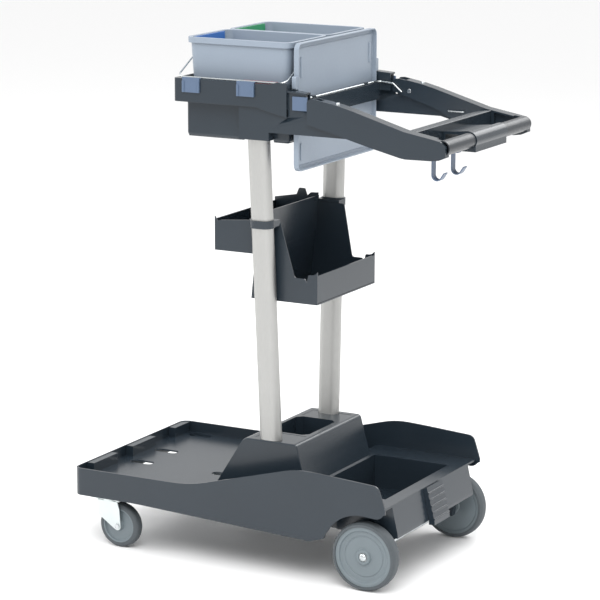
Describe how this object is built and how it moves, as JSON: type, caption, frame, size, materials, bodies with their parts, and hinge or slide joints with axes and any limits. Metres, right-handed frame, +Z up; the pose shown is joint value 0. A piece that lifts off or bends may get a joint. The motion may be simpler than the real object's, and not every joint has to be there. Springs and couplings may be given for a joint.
{
  "type": "housekeeping cart",
  "caption": "Housekeeping cart with a tray base, splayed columns, tool organiser, bucket frame with lift-out buckets, upright lid and a folding push handle that holds a waste bag.",
  "frame": {"origin": "on the floor, under the middle of the cart's overall length and width", "axes": "+X along the cart towards the push handle, +Y across the cart, +Z up"},
  "size_m": [0.904, 0.482, 1.149],
  "materials": {
    "dark_plastic": "fine-grained moulded plastic",
    "light_plastic": "smooth moulded plastic",
    "clip_plastic": "smooth moulded plastic",
    "column_aluminium": "satin anodised",
    "plated_steel": "zinc plated",
    "fork_steel": "pressed and zinc plated",
    "wheel_grey": "moulded",
    "tyre_grey": "solid tread",
    "bush": "plain bearing",
    "insert_blue": "smooth",
    "insert_green": "smooth",
    "tab_red": "smooth",
    "grip_rubber": "soft grip"
  },
  "bodies": {
    "chassis": {"base_tray": "dark_plastic", "column_cover_left": "dark_plastic", "column_cover_right": "dark_plastic", "foot_plate": "dark_plastic", "rear_axle": "plated_steel", "axle_caps": "plated_steel", "caster_plate_left": "fork_steel", "caster_plate_right": "fork_steel", "column_left": "column_aluminium", "column_right": "column_aluminium", "column_screws": "plated_steel", "organiser": "dark_plastic", "organiser_strap_left": "dark_plastic", "organiser_strap_right": "dark_plastic", "bucket_tub": "dark_plastic", "bucket_frame": "dark_plastic", "side_bracket_left": "dark_plastic", "side_bracket_right": "dark_plastic", "colour_tab": "tab_red", "frame_clips_left": "clip_plastic", "frame_clips_right": "clip_plastic", "clamp_saddles": "dark_plastic", "fold_pins": "plated_steel"},
    "handle": {"handle_arm_left": "dark_plastic", "handle_arm_right": "dark_plastic", "handle_crossbar": "dark_plastic", "grip_tube": "grip_rubber", "grip_bridge": "dark_plastic", "latch_studs": "plated_steel", "hook_rail": "dark_plastic", "handle_hooks": "clip_plastic", "bag_catches": "plated_steel"},
    "rear_wheel_left": {"rear_wheel_left": "wheel_grey", "rear_tyre_left": "tyre_grey", "rear_bush_left": "bush"},
    "rear_wheel_right": {"rear_wheel_right": "wheel_grey", "rear_tyre_right": "tyre_grey", "rear_bush_right": "bush"},
    "caster_swivel_left": {"caster_fork_left": "fork_steel", "caster_axle_left": "plated_steel"},
    "caster_swivel_right": {"caster_fork_right": "fork_steel", "caster_axle_right": "plated_steel"},
    "caster_wheel_left": {"caster_wheel_left": "wheel_grey", "caster_tyre_left": "tyre_grey"},
    "caster_wheel_right": {"caster_wheel_right": "wheel_grey", "caster_tyre_right": "tyre_grey"},
    "bag_clamp": {"bag_clamp": "plated_steel"},
    "lid": {"lid": "light_plastic"},
    "bucket_left": {"bucket_left": "light_plastic", "bucket_insert_left": "insert_blue"},
    "bucket_right": {"bucket_right": "light_plastic", "bucket_insert_right": "insert_green"},
    "bail_left": {"bail_left": "plated_steel"},
    "bail_right": {"bail_right": "plated_steel"}
  },
  "joints": [
    {"name": "rear_wheel_spin_left", "type": "hinge", "parent": "chassis", "child": "rear_wheel_left", "pos_m": [0.2745, -0.221, 0.075], "axis": [0, 1, 0], "continuous": true},
    {"name": "rear_wheel_spin_right", "type": "hinge", "parent": "chassis", "child": "rear_wheel_right", "pos_m": [0.2745, 0.221, 0.075], "axis": [0, 1, 0], "continuous": true},
    {"name": "caster_swivel_left", "type": "hinge", "parent": "chassis", "child": "caster_swivel_left", "pos_m": [-0.373, -0.207, 0.106], "axis": [0, 0, 1], "continuous": true},
    {"name": "caster_spin_left", "type": "hinge", "parent": "caster_swivel_left", "child": "caster_wheel_left", "pos_m": [-0.346, -0.207, 0.05], "axis": [0, 1, 0], "continuous": true},
    {"name": "caster_swivel_right", "type": "hinge", "parent": "chassis", "child": "caster_swivel_right", "pos_m": [-0.373, 0.207, 0.106], "axis": [0, 0, 1], "continuous": true},
    {"name": "caster_spin_right", "type": "hinge", "parent": "caster_swivel_right", "child": "caster_wheel_right", "pos_m": [-0.346, 0.207, 0.05], "axis": [0, 1, 0], "continuous": true},
    {"name": "handle_fold", "type": "hinge", "parent": "chassis", "child": "handle", "pos_m": [0.165, 0, 1.013], "axis": [0, -1, 0], "range_deg": [0, 90]},
    {"name": "bag_clamp_hinge", "type": "hinge", "parent": "chassis", "child": "bag_clamp", "pos_m": [0.091, 0, 1.0313], "axis": [0, -1, 0], "range_deg": [0, 90]},
    {"name": "lid_lift", "type": "slide", "parent": "chassis", "child": "lid", "axis": [0, 0, 1], "range_m": [0, 0.27]},
    {"name": "bucket_lift_left", "type": "slide", "parent": "chassis", "child": "bucket_left", "axis": [0, 0, 1], "range_m": [0, 0.25]},
    {"name": "bail_swing_left", "type": "hinge", "parent": "bucket_left", "child": "bail_left", "pos_m": [-0.063, -0.09, 1.128], "axis": [-1, 0, 0], "range_deg": [0, 118]},
    {"name": "bucket_lift_right", "type": "slide", "parent": "chassis", "child": "bucket_right", "axis": [0, 0, 1], "range_m": [0, 0.25]},
    {"name": "bail_swing_right", "type": "hinge", "parent": "bucket_right", "child": "bail_right", "pos_m": [-0.063, 0.09, 1.128], "axis": [1, 0, 0], "range_deg": [0, 118]}
  ]
}
